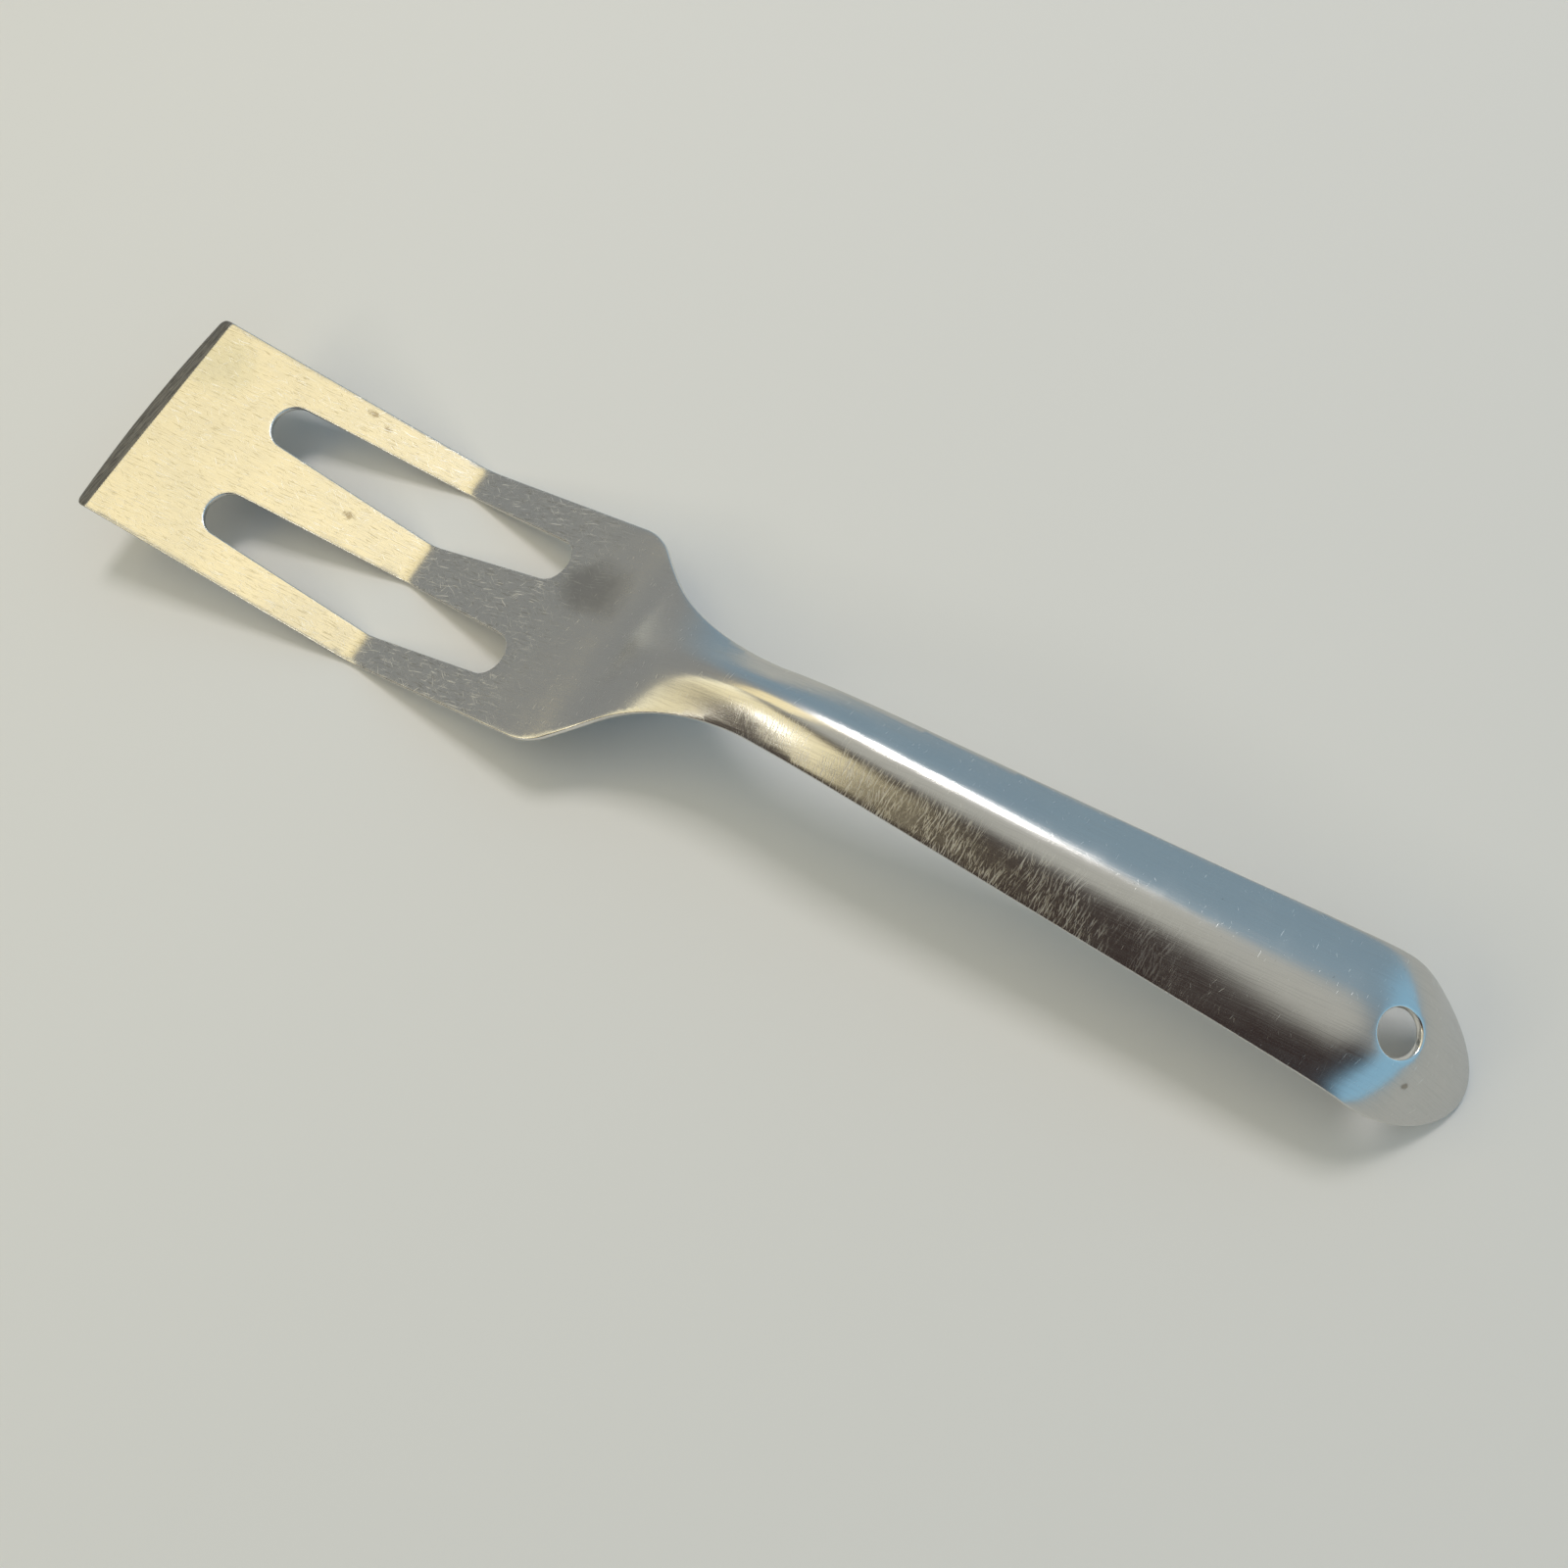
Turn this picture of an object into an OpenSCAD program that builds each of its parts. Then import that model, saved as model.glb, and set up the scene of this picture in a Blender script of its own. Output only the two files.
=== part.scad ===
// Grill spatula pressed from one strip of stainless sheet.
// Blade, neck, channel handle and hanging tab are one piece. +X runs from the
// blade to the handle end, +Z is up, and the origin is under the middle of the
// piece, on the surface that it rests on. All sizes are in millimetres.
// Lengths along the piece are measured on the sheet, from the crease.

/* [Sheet] */
// Thickness of the sheet
sheet_t = 1.2; // [0.8:0.1:2.0]

/* [Blade] */
// Length of the blade in front of the crease
front_len = 81; // [70:1:95]
// Width across the front corners
front_w = 56; // [48:1:68]
// Width at the crease
crease_w = 54.2; // [50:0.2:66]
// Width at the shoulders
shoulder_w = 50.8; // [46:0.2:62]
// Distance from the crease to where the shoulders begin
shoulder_at = 53; // [46:1:64]
// Radius of each shoulder
shoulder_r = 13.4; // [8:0.2:16]
// Radius of the two front corners
corner_r = 2.0; // [0.5:0.1:4]
// How far the front edge bows forward in its middle
front_bow = 1.0; // [0:0.1:3]
// Width of the ground bevel on the front edge
bevel_w = 4.3; // [3.2:0.1:6]
// Thickness left at the very edge of the bevel
bevel_edge_t = 0.35; // [0.2:0.05:0.7]

/* [Slots] */
// Distance from the crease to the middle of a slot's front end
slot_front_at = 46.4; // [38:0.2:52]
// Distance from the crease to the middle of a slot's rear end
slot_rear_at = 35; // [28:0.5:40]
// Distance from the centre line to the middle of a slot's front end
slot_front_off = 12.8; // [11.6:0.1:14]
// Distance from the centre line to the middle of a slot at the crease
slot_waist_off = 12.4; // [11.6:0.1:13.6]
// Distance from the centre line to the middle of a slot's rear end
slot_rear_off = 12.1; // [11:0.1:13.4]
// Radius of a slot's front end
slot_front_r = 5.4; // [3:0.1:6.4]
// Radius of a slot where it crosses the crease
slot_waist_r = 7.2; // [4:0.1:8.2]
// Radius of a slot's rear end
slot_rear_r = 4.8; // [3:0.1:6.2]

/* [Handle] */
// Narrowest width, at the neck
neck_w = 13.2; // [11:0.1:17]
// Radius of the sweep from the shoulders into the neck
neck_r = 67; // [50:1:90]
// Width where the handle's round end begins
end_w = 23.8; // [20:0.2:29]
// Distance from the crease to the start of the round end
end_at = 217; // [200:1:240]
// Length of the round end
end_len = 21.5; // [14:0.5:26]
// How much lower the edges lie than the ridge
channel_d = 4.4; // [2:0.1:7]
// How rounded the ridge is, as a share of the half width
ridge_round = 0.35; // [0.15:0.05:0.9]

/* [Hanging hole] */
// Diameter of the hanging hole
hole_d = 7.2; // [4:0.1:10]
// Distance from the handle's tip to the middle of the hole
hole_from_tip = 21.5; // [18:0.5:36]
// How much lower the tab's edges lie than its middle
tab_dish = 4.4; // [0:0.1:5]

/* [Bends] */
// Angle that the front of the blade rises
tip_rise = 13.4; // [4:0.2:18]
// Angle bent at the crease
crease_bend = 24.8; // [10:0.2:34]
// Angle that the neck bends further up
neck_bend = 20.5; // [8:0.5:26]
// Angle that the handle arches back down
arch_bend = 39; // [24:0.5:48]
// Angle that the tab curls down
tab_bend = 49.5; // [20:0.5:56]

/* [Hidden] */

// Distance from the crease to the middle of the hole
hole_at = end_at + end_len - hole_from_tip;

// Length of sheet that each bend is spread over, and where it lies
crease_l = 9.4;
neck_bend_l = 12;
arch_bend_l = 73;
tab_bend_l = 18.5;
neck_bend_at = shoulder_at + 12;
arch_bend_at = shoulder_at + 45;
tab_bend_at = hole_at;

// Where the channel starts, is full, starts to fade and has become the tab
channel_start = shoulder_at - 2;
channel_full = shoulder_at + 56;
channel_fade = hole_at - 36;
channel_gone = hole_at;

// Gap by which a cutter runs past the sheet
cut = 10;

bends = [
    [0, crease_l, crease_bend],
    [neck_bend_at, neck_bend_l, neck_bend],
    [arch_bend_at, arch_bend_l, -arch_bend],
    [tab_bend_at, tab_bend_l, -tab_bend],
];

// A smooth step from 0 to 1, and a plain straight mix
function clamp01(t) = max(0, min(1, t));
function smooth(t) = let (c = clamp01(t)) c * c * (3 - 2 * c);
function mix(a, b, t) = a + (b - a) * t;
function ramp(s, from, to) = smooth((s - from) / (to - from));
function total(list) = list * [for (item = list) 1];

// Angle of the sheet, positive where it rises towards the handle
function lean(s) = -tip_rise + total([for (b = bends) b[2] * smooth(0.5 + (s - b[0]) / b[1])]);

// The outline: straight blade sides, a shoulder arc, a sweep into the neck,
// a straight flare along the handle and a round end
sweep_rise = shoulder_w / 2 - shoulder_r - neck_w / 2 - neck_r;
sweep_end = shoulder_at + sqrt(pow(shoulder_r + neck_r, 2) - pow(sweep_rise, 2));
arcs_meet = mix(shoulder_at, sweep_end, shoulder_r / (shoulder_r + neck_r));
function shoulder_arc(s) = shoulder_w / 2 - shoulder_r + sqrt(pow(shoulder_r, 2) - pow(s - shoulder_at, 2));
function neck_arc(s) = neck_w / 2 + neck_r - sqrt(pow(neck_r, 2) - pow(s - sweep_end, 2));
function blade_side(s) =
    s < 0 ? mix(crease_w, front_w, s / (bevel_w - front_len)) / 2
          : mix(crease_w, shoulder_w, s / shoulder_at) / 2;
function corner_cut(s) =
    let (back = clamp01(1 - (s + front_len) / corner_r))
    corner_r * (1 - sqrt(1 - pow(back, 2)));
function half_w(s) =
    s < shoulder_at ? blade_side(s) - corner_cut(s) :
    s < arcs_meet ? shoulder_arc(s) :
    s < sweep_end ? neck_arc(s) :
    s < end_at ? mix(neck_w, end_w, (s - sweep_end) / (end_at - sweep_end)) / 2 :
    end_w / 2 * sqrt(1 - pow(min(1, (s - end_at) / end_len), 2));

// The cross section: a channel with a rounded ridge, then a shallow dish at the tab
function ridge(u) = (sqrt(u * u + ridge_round * ridge_round) - ridge_round)
    / (sqrt(1 + ridge_round * ridge_round) - ridge_round);
function drop(s, u) =
    let (tab = ramp(s, channel_fade, channel_gone))
    ramp(s, channel_start, channel_full)
    * (channel_d * (1 - tab) * ridge(u) + tab_dish * tab * pow(u * half_w(s) / (end_w / 2), 2));

// Rows across the sheet, closer together where it bends or its outline curves
function steps(from, to, n) = [for (i = [0 : n - 1]) mix(from, to, i / n)];
corner_shares = [0, 0.12, 0.4];
tip_angles = concat([for (a = [0 : 9 : 81]) a], [86, 89]);
rows = concat(
    [for (share = corner_shares) -front_len + share * corner_r],
    steps(-front_len + corner_r, -front_len + bevel_w, 2),
    steps(-front_len + bevel_w, -crease_l / 2, 5),
    steps(-crease_l / 2, crease_l / 2, 8),
    steps(crease_l / 2, shoulder_at, 5),
    steps(shoulder_at, arcs_meet, 6),
    steps(arcs_meet, sweep_end, 12),
    steps(sweep_end, channel_fade, 9),
    steps(channel_fade, hole_at - tab_bend_l / 2, 6),
    steps(hole_at - tab_bend_l / 2, end_at, 6),
    [for (a = tip_angles) end_at + end_len * sin(a)]
);
last_row = len(rows) - 1;

// Columns along the sheet, from one edge at -1 to the other at 1
half_columns = 10;
columns = [for (j = [-half_columns : half_columns]) j / half_columns];
last_column = len(columns) - 1;

// The line of the sheet seen from the side, measured from its front edge
side_line = [
    for (
        i = 0, x = 0, z = 0;
        i <= last_row;
        step = i < last_row ? rows[i + 1] - rows[i] : 0,
        middle = lean(rows[i] + step / 2),
        x = x + step * cos(middle),
        z = z + step * sin(middle),
        i = i + 1
    ) [x, z]
];
along = [for (i = [0 : last_row]) [rows[i], side_line[i][0]]];
height = [for (i = [0 : last_row]) [rows[i], side_line[i][1]]];
function on_line(s) = [lookup(s, along), 0, lookup(s, height)];
function up_at(s) = [-sin(lean(s)), 0, cos(lean(s))];

// The front edge bows forward, and the bevel narrows towards the corners
function bow(s, u) = front_bow * u * u * clamp01(1 - (s + front_len) / bevel_w);
function under(s, u) =
    on_line(s) + [bow(s, u) * cos(lean(s)), u * half_w(s), bow(s, u) * sin(lean(s))] - drop(s, u) * up_at(s);
function thick(s) = mix(bevel_edge_t, sheet_t, clamp01((s + front_len) / bevel_w));

bottom = [for (s = rows) [for (u = columns) under(s, u)]];
function unit(v) = v / norm(v);
function facing(i, j) = unit(cross(
    bottom[min(i + 1, last_row)][j] - bottom[max(i - 1, 0)][j],
    bottom[i][min(j + 1, last_column)] - bottom[i][max(j - 1, 0)]
));
top = [
    for (i = [0 : last_row]) [for (j = [0 : last_column]) bottom[i][j] + thick(rows[i]) * facing(i, j)]
];

// At rest the piece stands on its crease and on the end of its tab
foot = bottom[last_row][half_columns];
crease_under = on_line(0);
rest_tilt = atan2(foot[2] - crease_under[2], foot[0] - crease_under[0]);
function turned(p) = [p[0] * cos(rest_tilt) + p[2] * sin(rest_tilt), p[2] * cos(rest_tilt) - p[0] * sin(rest_tilt)];
outer_points = [for (sheet = [bottom, top]) for (row = sheet) for (p = row) turned(p)];
x_places = [for (p = outer_points) p[0]];
z_places = [for (p = outer_points) p[1]];
origin_shift = [-(min(x_places) + max(x_places)) / 2, 0, -min(z_places)];

// The pressed strip as one closed skin
module pressed_strip() {
    wide = last_column + 1;
    count = (last_row + 1) * wide;
    function low(i, j) = i * wide + j;
    function high(i, j) = count + i * wide + j;
    polyhedron(
        points = concat(
            [for (row = bottom) for (p = row) p],
            [for (row = top) for (p = row) p]
        ),
        faces = concat(
            [for (i = [0 : last_row - 1]) for (j = [0 : last_column - 1])
                [high(i, j), high(i, j + 1), high(i + 1, j + 1), high(i + 1, j)]],
            [for (i = [0 : last_row - 1]) for (j = [0 : last_column - 1])
                [low(i, j), low(i + 1, j), low(i + 1, j + 1), low(i, j + 1)]],
            [for (i = [0 : last_row - 1]) [low(i, 0), high(i, 0), high(i + 1, 0), low(i + 1, 0)]],
            [for (i = [0 : last_row - 1])
                [low(i, last_column), low(i + 1, last_column), high(i + 1, last_column), high(i, last_column)]],
            [for (j = [0 : last_column - 1]) [low(0, j), low(0, j + 1), high(0, j + 1), high(0, j)]],
            [for (j = [0 : last_column - 1])
                [low(last_row, j), high(last_row, j), high(last_row, j + 1), low(last_row, j + 1)]]
        ),
        convexity = 8
    );
}

// Two round ends of unlike radius and the straight sides that touch both
module taper(from, from_r, to, to_r) {
    gap = norm(to - from);
    heading = atan2(to[1] - from[1], to[0] - from[0]);
    side = acos((from_r - to_r) / gap);
    function rim(centre, r, a) = centre + r * [cos(heading + a), sin(heading + a)];
    translate(from) circle(r = from_r, $fn = 72);
    translate(to) circle(r = to_r, $fn = 72);
    polygon([
        rim(from, from_r, side),
        rim(from, from_r, -side),
        rim(to, to_r, -side),
        rim(to, to_r, side),
    ]);
}

// A slot is widest at the crease and narrows to its round ends
module slot_cutter() {
    front = [on_line(-slot_front_at)[0], slot_front_off];
    waist = [on_line(0)[0], slot_waist_off];
    rear = [on_line(slot_rear_at)[0], slot_rear_off];
    translate([0, 0, min([for (p = side_line) p[1]]) - cut])
        linear_extrude(height = sheet_t + front_len * sin(tip_rise) + 2 * cut) {
            taper(front, slot_front_r, waist, slot_waist_r);
            taper(waist, slot_waist_r, rear, slot_rear_r);
        }
}

// The hole is square to the tab where it passes through
module hanging_hole_cutter() {
    translate(on_line(hole_at))
        rotate([0, -lean(hole_at), 0])
            cylinder(h = 2 * cut, d = hole_d, center = true, $fn = 96);
}

module spatula() {
    color([0.72, 0.72, 0.69])
        translate(origin_shift)
            rotate([0, rest_tilt, 0])
                difference() {
                    pressed_strip();
                    slot_cutter();
                    mirror([0, 1, 0]) slot_cutter();
                    hanging_hole_cutter();
                }
}

spatula();
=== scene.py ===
# %% [markdown]
# # A grill spatula pressed from one strip of stainless sheet
# The real tool is one piece. A flat blank is cut from sheet, with two slots
# and a hanging hole. Its front edge is ground to a bevel, its edges are
# tumbled, and a press bends it into blade, neck, channel handle and tab.
# This file follows the same steps: a flat blank, a press, then a finish.

# %% Load the frame
import math

import bpy
import mathutils
import numpy as np
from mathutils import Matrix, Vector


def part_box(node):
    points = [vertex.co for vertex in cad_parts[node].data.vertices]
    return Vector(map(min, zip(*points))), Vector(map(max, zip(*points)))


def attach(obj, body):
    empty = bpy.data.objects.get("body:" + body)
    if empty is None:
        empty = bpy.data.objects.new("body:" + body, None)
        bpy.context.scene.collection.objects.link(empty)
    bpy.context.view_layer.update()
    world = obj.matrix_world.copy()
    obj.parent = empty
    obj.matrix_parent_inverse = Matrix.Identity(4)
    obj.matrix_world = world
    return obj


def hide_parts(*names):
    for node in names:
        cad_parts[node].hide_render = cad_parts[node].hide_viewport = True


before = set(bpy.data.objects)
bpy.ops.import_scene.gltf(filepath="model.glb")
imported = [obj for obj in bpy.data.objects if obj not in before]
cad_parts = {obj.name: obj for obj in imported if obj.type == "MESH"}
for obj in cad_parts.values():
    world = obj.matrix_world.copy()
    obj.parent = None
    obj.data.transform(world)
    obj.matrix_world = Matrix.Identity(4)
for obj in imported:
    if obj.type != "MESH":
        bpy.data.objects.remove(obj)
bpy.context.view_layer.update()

# %% [markdown]
# ## Sizes of the blank
# Lengths along the piece are measured on the sheet, from the crease of the
# blade, as a press shop measures them. The blade lies in front of the crease,
# so its lengths are negative. Blender works in metres, and MM turns the
# millimetres of the drawing into them.

# %% Sizes of the blank
MM = 0.001
sheet_t = 1.2 * MM
edge_r = 0.28 * MM

front_len = 81 * MM
front_half = 28 * MM
crease_half = 27.1 * MM
shoulder_half = 25.4 * MM
shoulder_at = 53 * MM
shoulder_r = 13.4 * MM
corner_r = 2.0 * MM
front_bow = 1.0 * MM
bevel_w = 4.3 * MM
bevel_edge_t = 0.35 * MM
bevel_line = bevel_w - front_len

neck_half = 6.6 * MM
neck_r = 67 * MM
end_half = 11.9 * MM
end_at = 217 * MM
end_len = 21.5 * MM
hole_at = 217 * MM
hole_r = 3.6 * MM

# Each slot is three circles: its front end, its waist at the crease, its rear end
slot_circles = [
    (-46.4 * MM, 12.8 * MM, 5.4 * MM),
    (0.0, 12.4 * MM, 7.2 * MM),
    (35.0 * MM, 12.1 * MM, 4.8 * MM),
]

# %% [markdown]
# ## The outline
# Half the width is a rule of the length: straight blade sides, a shoulder
# arc, a long sweep into the neck, and a straight flare along the handle.
# As one function, the outline, the press and the finish can all ask it.

# %% Half width of the blank
sweep_rise = shoulder_half - shoulder_r - neck_half - neck_r
sweep_end = shoulder_at + math.sqrt((shoulder_r + neck_r) ** 2 - sweep_rise ** 2)
arcs_meet = shoulder_at + (sweep_end - shoulder_at) * shoulder_r / (shoulder_r + neck_r)


def half_width(s):
    """Half the width between the straight or swept sides. The round end starts past end_at."""
    if s < 0:
        return crease_half + (front_half - crease_half) * s / bevel_line
    if s < shoulder_at:
        return crease_half + (shoulder_half - crease_half) * s / shoulder_at
    if s < arcs_meet:
        return shoulder_half - shoulder_r + math.sqrt(shoulder_r ** 2 - (s - shoulder_at) ** 2)
    if s < sweep_end:
        return neck_half + neck_r - math.sqrt(neck_r ** 2 - (s - sweep_end) ** 2)
    return neck_half + (end_half - neck_half) * min(1.0, (s - sweep_end) / (end_at - sweep_end))


def walk(points, step):
    """A closed line through the points, with new points spaced evenly along it."""
    line = np.array(points + points[:1])
    length = np.concatenate([[0], np.cumsum(np.linalg.norm(np.diff(line, axis=0), axis=1))])
    places = np.arange(int(length[-1] / step)) * length[-1] / int(length[-1] / step)
    return np.column_stack([np.interp(places, length, line[:, k]) for k in (0, 1)])


front_count, corner_count, tip_count = 24, 10, 60
first_turn = 0.1
side_step = 0.4 * MM


def outline_points():
    """One side of the outer edge from the middle of the front to the tip, then its mirror image."""
    inner = front_half - corner_r
    side = [(-front_len + front_bow * u * u, -u * inner) for u in np.linspace(0, 1, front_count)]
    for turn in np.linspace(first_turn, math.pi / 2, corner_count):
        back = corner_r * (1 - math.cos(turn))
        bow = front_bow * (1 - back / bevel_w)
        side.append((-front_len + back + bow, -inner - corner_r * math.sin(turn)))
    side += [(s, -half_width(s)) for s in np.arange(bevel_line - MM, end_at, side_step)]
    turns = np.linspace(0, math.pi / 2, tip_count)
    side += [(end_at + end_len * math.sin(a), -end_half * math.cos(a)) for a in turns]
    return side + [(s, -y) for s, y in reversed(side[1:-1])]


edge_step = 0.6 * MM
outline = walk(outline_points(), edge_step)
print("outline:", len(outline), "points")

# %% [markdown]
# ## Slots and hole
# A slot is wide at the crease and narrow at both round ends. Three circles
# and the lines that touch them give that shape, so no list of points is
# needed. The openings run the other way round, with the metal on their left
# like the outline, so one rule can round every edge outwards.

# %% Slots and hanging hole
def touching_angle(first, second, side):
    """Direction from both centres to the line that touches two circles on one side."""
    along, over = second[0] - first[0], second[1] - first[1]
    return math.atan2(over, along) + side * math.acos((first[2] - second[2]) / math.hypot(along, over))


def arc(circle, start, stop, count):
    s, y, radius = circle
    return [(s + radius * math.cos(a), y + radius * math.sin(a)) for a in np.linspace(start, stop, count)]


end_arc_count, waist_arc_count, hole_count = 40, 12, 96


def slot_points(mirror):
    front, waist, rear = [(s, mirror * y, r) for s, y, r in slot_circles]
    left_up, right_up = touching_angle(front, waist, 1), touching_angle(waist, rear, 1)
    left_low, right_low = touching_angle(front, waist, -1), touching_angle(waist, rear, -1)
    loop = arc(front, left_up, left_low + 2 * math.pi, end_arc_count)
    loop += arc(waist, left_low, right_low, waist_arc_count)
    loop += arc(rear, right_low, right_up, end_arc_count)
    return loop + arc(waist, right_up, left_up, waist_arc_count)


def hole_points():
    return arc((hole_at, 0.0, hole_r), 0, 2 * math.pi, hole_count + 1)[:-1]


openings = [walk(slot_points(mirror), edge_step)[::-1] for mirror in (1, -1)]
openings.append(walk(hole_points(), edge_step / 2)[::-1])
loops = [outline] + openings
print("openings:", [len(loop) for loop in openings], "points")

# %% [markdown]
# ## The sheet between its edges
# The sheet is triangulated once, with a fine even grid inside, so that it
# bends smoothly later. Delaunay triangulation keeps the cut edges exactly
# where they are. It stops a little inside each edge, to leave room for the
# rounding that tumbling gives.

# %% Triangulate the sheet
def outward(loop):
    """Unit vectors out of the metal, which is on the left of each loop."""
    along = np.roll(loop, -1, axis=0) - np.roll(loop, 1, axis=0)
    along /= np.linalg.norm(along, axis=1)[:, None]
    return np.column_stack([along[:, 1], -along[:, 0]])


def inside(points, loop):
    """Which points lie inside a loop: those with an odd number of crossings on their right."""
    start, stop = loop, np.roll(loop, -1, axis=0)
    px, py = points[:, :1], points[:, 1:]
    crosses = (start[:, 1] > py) != (stop[:, 1] > py)
    rise = np.where(stop[:, 1] == start[:, 1], 1.0, stop[:, 1] - start[:, 1])
    reach = start[:, 0] + (py - start[:, 1]) * (stop[:, 0] - start[:, 0]) / rise
    return (crosses & (px < reach)).sum(axis=1) % 2 == 1


def in_metal(points, outer, *inner):
    keep = inside(points, outer)
    for loop in inner:
        keep &= ~inside(points, loop)
    return keep


fine_loops = [walk([tuple(p) for p in loop], edge_step / 4) for loop in loops]
edge_tree = mathutils.kdtree.KDTree(sum(len(loop) for loop in fine_loops))
for number, (s, y) in enumerate(p for loop in fine_loops for p in loop):
    edge_tree.insert((s, y, 0), number)
edge_tree.balance()


def from_edge(points):
    """Distance from each point to the nearest cut edge."""
    return np.array([edge_tree.find((s, y, 0))[2] for s, y in points])


grid = 0.8 * MM
clear_of_line = 0.6 * grid
half_rows = round(front_half / grid)
across = np.arange(-half_rows, half_rows + 1) * grid
lengths = np.arange(-front_len + grid, end_at + end_len, grid)
lengths = lengths[abs(lengths - bevel_line) > clear_of_line]
lattice = np.array([(s, y) for s in lengths for y in across])
lattice = lattice[in_metal(lattice, *loops)]
lattice = lattice[from_edge(lattice) > edge_r + clear_of_line]

rings = [loop - edge_r * outward(loop) for loop in loops]
crisp = 0.1 * MM
line_ends = front_half - 1.5 * MM
bevel_across = across[abs(across) < line_ends]
bevel_rows = [np.column_stack([np.full(len(bevel_across), bevel_line + side), bevel_across])
              for side in (-crisp, crisp)]

points, edges, ring_starts = [], [], []
for chain, closed in [(ring, True) for ring in rings] + [(row, False) for row in bevel_rows]:
    first, count = len(points), len(chain)
    ring_starts.append(first)
    points += [mathutils.Vector(p) for p in chain]
    edges += [(first + i, first + (i + 1) % count) for i in range(count if closed else count - 1)]
points += [mathutils.Vector(p) for p in lattice]
keep_all, merge_below = 0, 1e-7
made = mathutils.geometry.delaunay_2d_cdt(points, edges, [], keep_all, merge_below)
flat_points, triangles, came_from = made[0], made[2], made[3]
flat_points = np.array([tuple(p) for p in flat_points])
triangles = np.array(triangles)
triangles = triangles[in_metal(flat_points[triangles].mean(axis=1), *rings)]
sides = flat_points[triangles[:, 1:]] - flat_points[triangles[:, :1]]
areas = 0.5 * np.cross(sides[:, 0], sides[:, 1])
smallest_area = 0.001 * MM * MM
triangles = triangles[areas > smallest_area]
print("sheet:", len(flat_points), "points,", len(triangles), "triangles")

# %% [markdown]
# ## The blank
# The triangles are used twice, as the top and the bottom of the sheet, and
# rows of four-sided faces close the rim between them. Each rim is rounded,
# because the thin bright line along a rounded edge is what makes sheet metal
# look real. Towards the front the sheet thins to the ground bevel.

# %% Thickness and the closed blank
def thickness(points):
    """The sheet's own thickness, thinned on the bevel, which starts at the bowed front edge."""
    bowed = -front_len + front_bow * np.minimum(1, abs(points[:, 1]) / (front_half - corner_r)) ** 2
    share = np.clip((points[:, 0] - bowed) / (bevel_line - bowed), 0, 1)
    return bevel_edge_t + (sheet_t - bevel_edge_t) * share


index_of = {source: new for new, sources in enumerate(came_from) for source in sources}
top_count = len(flat_points)
blank_points = [np.column_stack([flat_points, thickness(flat_points)])]
blank_points.append(np.column_stack([flat_points, np.zeros(top_count)]))
faces = [tuple(t) for t in triangles] + [tuple(t[::-1] + top_count) for t in triangles]

used = 2 * top_count
most_rounding = 0.4
round_steps = [math.radians(a) for a in (30, 60, 90)]
for ring, start in zip(rings, ring_starts):
    count = len(ring)
    out = outward(ring)
    rows = [[index_of[start + i] for i in range(count)]]
    for upper in (True, False):
        for turn in (round_steps if upper else round_steps[::-1]):
            place = ring + edge_r * math.sin(turn) * out
            full = thickness(place)
            rounding = np.minimum(edge_r, most_rounding * full) * (1 - math.cos(turn))
            blank_points.append(np.column_stack([place, full - rounding if upper else rounding]))
            rows.append(list(range(used, used + count)))
            used += count
    rows.append([index_of[start + i] + top_count for i in range(count)])
    for near, far in zip(rows, rows[1:]):
        for i in range(count):
            j = (i + 1) % count
            faces.append((near[i], far[i], far[j], near[j]))

blank_points = np.vstack(blank_points)
blank_mesh = bpy.data.meshes.new("blank")
blank_mesh.from_pydata(blank_points.tolist(), [], faces)
print("blank:", len(blank_mesh.vertices), "points,", len(blank_mesh.polygons), "faces")

# %% [markdown]
# ## What the blank knows about itself
# Named attributes travel with the mesh. The press needs the half width at
# each point, and how fast the strip widens there. The finish needs to know
# how near an edge is, and which faces were ground to make the bevel.

# %% Attributes of the blank
def add_attribute(mesh, name, domain, values):
    layer = mesh.attributes.new(name, "FLOAT", domain)
    layer.data.foreach_set("value", np.asarray(values, dtype=np.float32))


nudge = 0.05 * MM
wear_reach = 0.7 * MM
widths = np.array([half_width(s) for s in blank_points[:, 0]])
next_widths = np.array([half_width(s + nudge) for s in blank_points[:, 0]])
edge_gap = np.clip(from_edge(blank_points[:, :2]) / wear_reach, 0, 1)
add_attribute(blank_mesh, "half_width", "POINT", widths)
add_attribute(blank_mesh, "widening", "POINT", (next_widths - widths) / nudge)
add_attribute(blank_mesh, "edge_wear", "POINT", (1 - edge_gap) ** 2)
face_middles = np.array([f.center for f in blank_mesh.polygons])
on_bevel = (face_middles[:, 0] < bevel_line) & (face_middles[:, 2] > 0.5 * bevel_edge_t)
add_attribute(blank_mesh, "ground", "FACE", on_bevel & (abs(face_middles[:, 1]) < front_half))
blank = bpy.data.objects.new("spatula_blank", blank_mesh)
bpy.context.scene.collection.objects.link(blank)
print("ground faces:", int(on_bevel.sum()))

# %% [markdown]
# ## A short hand for node trees
# Geometry trees and shader trees are built the same way, so one small class
# serves both. It adds a node, joins or sets its inputs, and hands back the
# node. With it a rule in nodes reads almost like the formula.

# %% Helpers for node trees
in_a_row = 12
node_wide, node_high = 220, 260


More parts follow.
